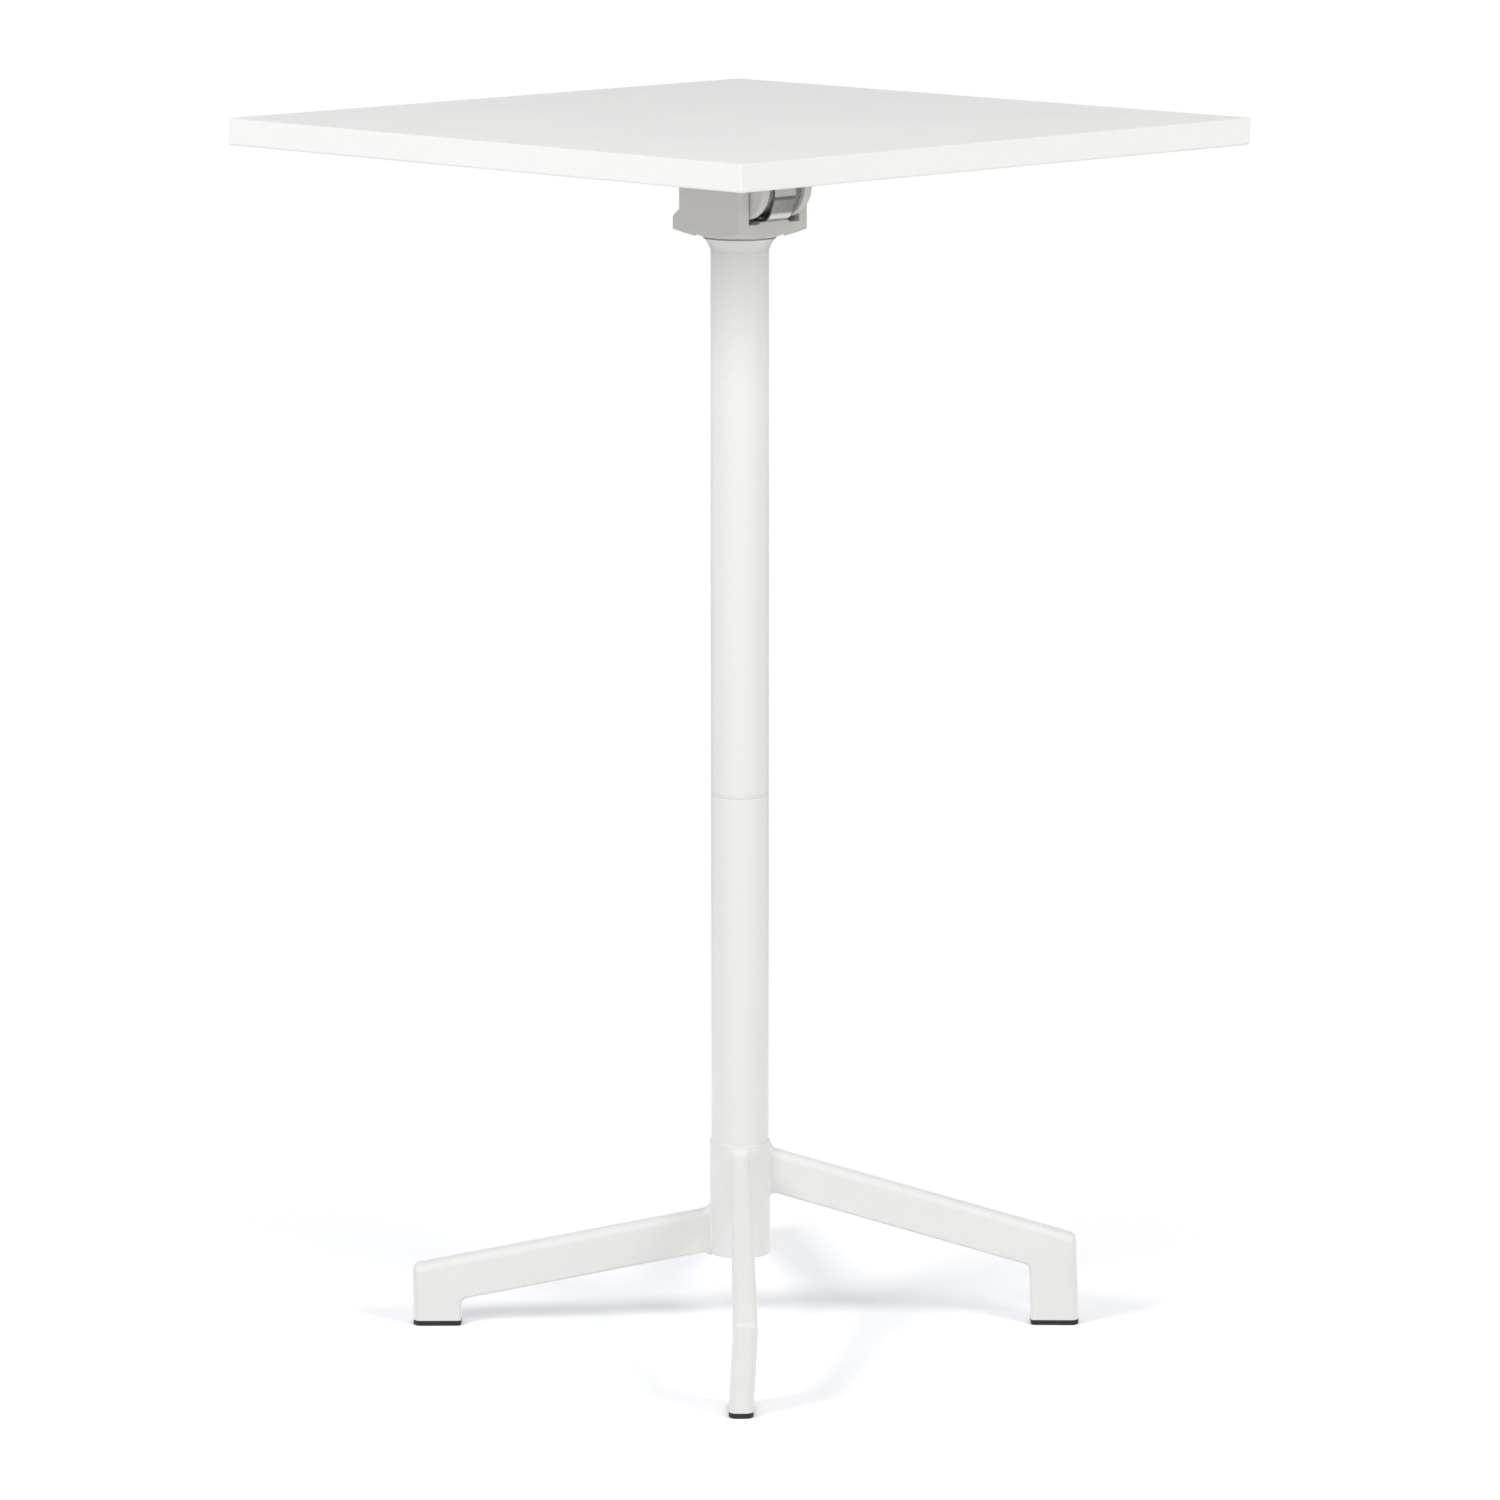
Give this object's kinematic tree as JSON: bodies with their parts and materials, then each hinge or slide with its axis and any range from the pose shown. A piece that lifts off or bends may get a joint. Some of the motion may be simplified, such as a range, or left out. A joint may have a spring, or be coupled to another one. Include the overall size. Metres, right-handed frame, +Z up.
{
  "type": "folding bar table",
  "caption": "Tall bar table with a square tilt-up top on a slim round column and splayed legs; the top swings upright so tables can be stored side by side.",
  "frame": {"origin": "on the floor, under the centre of the column and of the table top", "axes": "+Z up; X along the top's hinge; the hinge side, to which the top folds down, faces -Y"},
  "size_m": [0.616, 0.616, 1.06],
  "materials": {
    "white_board": "fine-grained white moulded board",
    "white_coat": "smooth white powder coat",
    "grey_polyamide": "light grey glass-filled moulding",
    "grey_acetal": "satin mid grey acetal",
    "white_bush": "natural acetal",
    "black_plastic": "matt black moulding",
    "black_rubber": "matt black rubber",
    "spring_steel": "polished spring strip",
    "steel": "zinc-plated",
    "brass": "turned",
    "bare_aluminium": "as machined"
  },
  "bodies": {
    "base": {"base_hub": "white_coat", "head_housing": "grey_polyamide", "hinge_axle": "steel", "axle_plug": "grey_polyamide", "rest_bumpers": "black_rubber", "detent_spring": "spring_steel", "spring_screws": "steel", "head_screws": "steel", "column_collar": "white_coat", "upper_tube": "white_coat", "tube_joiner": "bare_aluminium", "joiner_screws": "steel", "lower_tube": "white_coat", "tie_rod": "steel", "tie_rod_washer": "steel", "tie_rod_nut": "steel", "hub_cap": "black_plastic", "front_left_leg": "white_coat", "front_left_foot_pad": "black_rubber", "front_right_leg": "white_coat", "front_right_foot_pad": "black_rubber", "rear_right_leg": "white_coat", "rear_right_foot_pad": "black_rubber", "rear_left_leg": "white_coat", "rear_left_foot_pad": "black_rubber"},
    "top": {"table_top": "white_board", "threaded_inserts": "brass", "bracket_screws": "steel", "hinge_bracket": "grey_polyamide", "detent_drum": "grey_acetal", "drum_pins": "steel", "hinge_bush_left": "white_bush", "hinge_bush_right": "white_bush"}
  },
  "joints": [
    {"name": "top_tilt", "type": "hinge", "parent": "base", "child": "top", "pos_m": [0, -0.0291, 1.0052], "axis": [1, 0, 0], "range_deg": [0, 90], "deforming": ["detent_spring"]}
  ]
}
